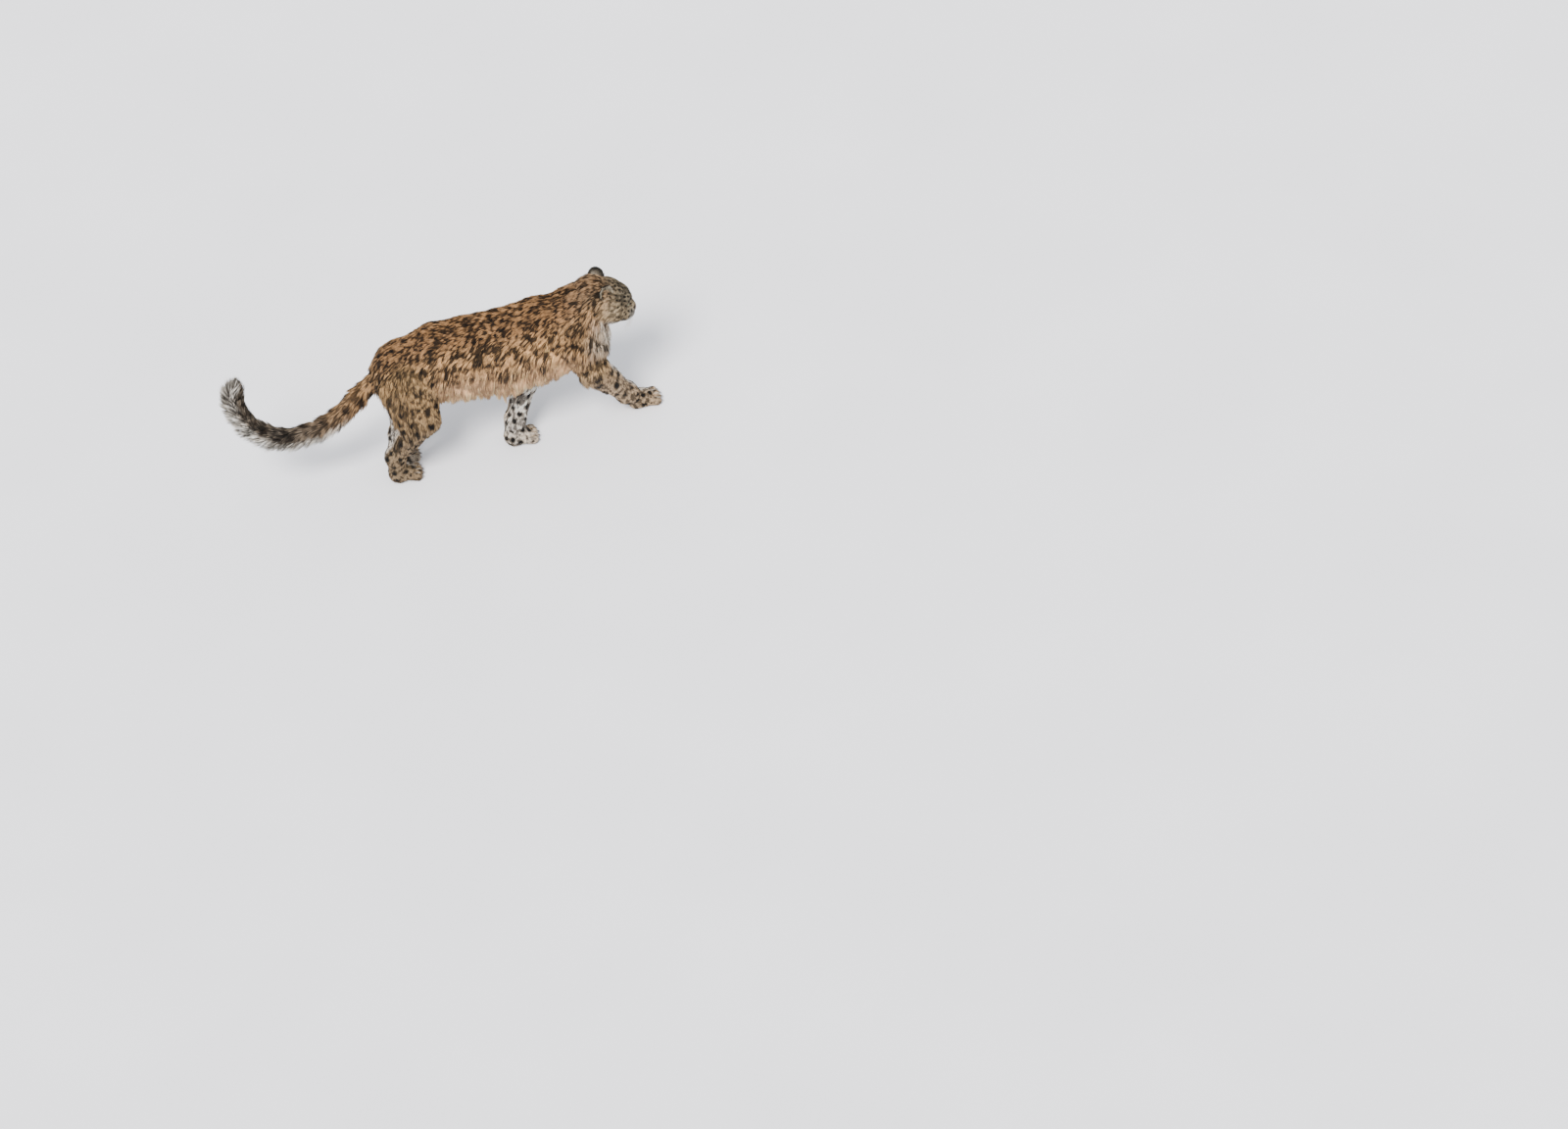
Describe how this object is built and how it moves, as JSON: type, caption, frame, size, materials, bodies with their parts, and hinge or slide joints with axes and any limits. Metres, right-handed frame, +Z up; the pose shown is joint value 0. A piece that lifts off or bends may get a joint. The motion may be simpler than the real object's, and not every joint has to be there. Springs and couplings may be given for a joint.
{
  "type": "snow leopard",
  "caption": "Walking snow leopard at life size, with a short broad head, small round ears, a long trunk with a shaggy belly, wide paws and a thick tail curled up at its end.",
  "frame": {"origin": "centre of the model's box, on the floor plane under the paws", "axes": "+X the way the animal faces, +Y its left side, +Z up"},
  "size_m": [1.5888, 0.3166, 0.6438],
  "materials": {
    "coat": "long soft fur, golden brown with blurred dark rosettes, cream towards the belly",
    "coat_head": "short fur, grey brown with small black spots",
    "coat_legs": "fur, pale grey brown with black spots",
    "coat_paws": "short fur, pale with small dark spots",
    "coat_ears": "short fur, black rim with a pale patch on the back and pale hair inside",
    "nose_leather": "dark moist skin",
    "eye": "polished, pale green grey with a round dark pupil"
  },
  "bodies": {
    "root": {"leg_front_right_upper": "coat", "leg_front_right_lower": "coat_legs", "paw_front_right": "coat_paws", "leg_front_left_upper": "coat", "leg_front_left_lower": "coat_legs", "paw_front_left": "coat_paws", "leg_hind_right_upper": "coat", "leg_hind_right_lower": "coat_legs", "paw_hind_right": "coat_paws", "leg_hind_left_upper": "coat", "leg_hind_left_lower": "coat_legs", "paw_hind_left": "coat_paws", "tail_root": "coat", "tail_middle": "coat", "tail_bend": "coat", "tail_tip": "coat", "torso": "coat", "neck": "coat", "head": "coat_head", "nose": "nose_leather", "ear_left": "coat_ears", "eye_left": "eye", "ear_right": "coat_ears", "eye_right": "eye"}
  },
  "joints": []
}
